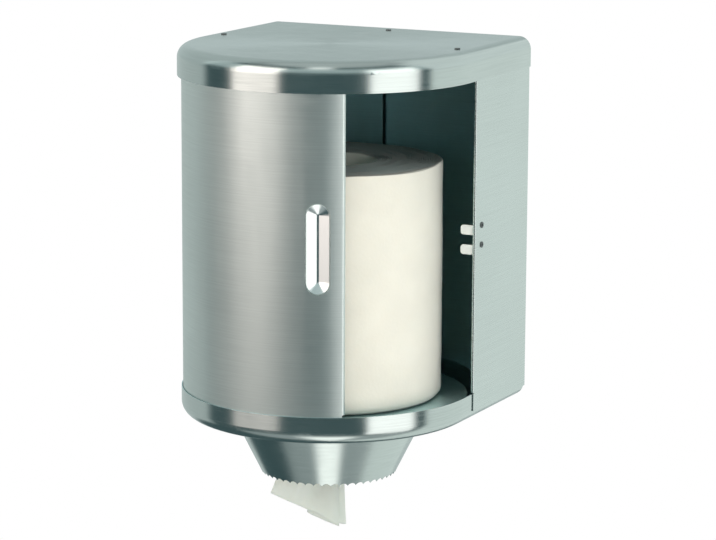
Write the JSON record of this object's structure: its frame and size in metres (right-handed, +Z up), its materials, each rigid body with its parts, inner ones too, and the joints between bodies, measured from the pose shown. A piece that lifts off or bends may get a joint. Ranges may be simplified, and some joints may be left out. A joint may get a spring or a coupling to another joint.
{
  "type": "centrefeed roll dispenser",
  "caption": "Wall-mounted steel centrefeed paper dispenser with a half-round turning door, a flat cap, a tray, a toothed outlet cone, a paper roll and a hanging paper tail.",
  "frame": {"origin": "on the wall plane, at the centre of the four wall holes in the back plate", "axes": "+Z up, -Y out of the wall to the front, +X to the right as seen from the front"},
  "size_m": [0.26, 0.26, 0.4258],
  "materials": {
    "satin_steel": "satin, brushed around the body",
    "bright_steel": "polished",
    "nylon": "white moulded",
    "paper": "soft tissue paper"
  },
  "bodies": {
    "housing": {"top_cap": "satin_steel", "rear_shell": "satin_steel", "bottom_tray": "satin_steel", "nozzle_cone": "satin_steel", "roll_plate": "satin_steel", "lower_track": "satin_steel", "rear_guide": "satin_steel", "upper_track": "satin_steel", "cap_screws": "bright_steel", "cap_nuts": "bright_steel", "catch_upper": "nylon", "catch_lower": "nylon", "catch_rivets": "bright_steel", "cone_rivets": "bright_steel"},
    "door": {"door_panel": "satin_steel", "door_pull": "bright_steel", "door_glides": "nylon"},
    "roll": {"paper_roll": "paper"},
    "tail": {"paper_tail": "paper"}
  },
  "joints": [
    {"name": "door_turn", "type": "hinge", "parent": "housing", "child": "door", "pos_m": [0, -0.13, 0], "axis": [0, 0, 1], "range_deg": [-78, 68.4]},
    {"name": "roll_turn", "type": "hinge", "parent": "housing", "child": "roll", "pos_m": [0, -0.13, 0], "axis": [0, 0, 1], "continuous": true},
    {"name": "tail_pull", "type": "slide", "parent": "housing", "child": "tail", "axis": [0, 0, -1], "range_m": [0, 0.04]}
  ]
}
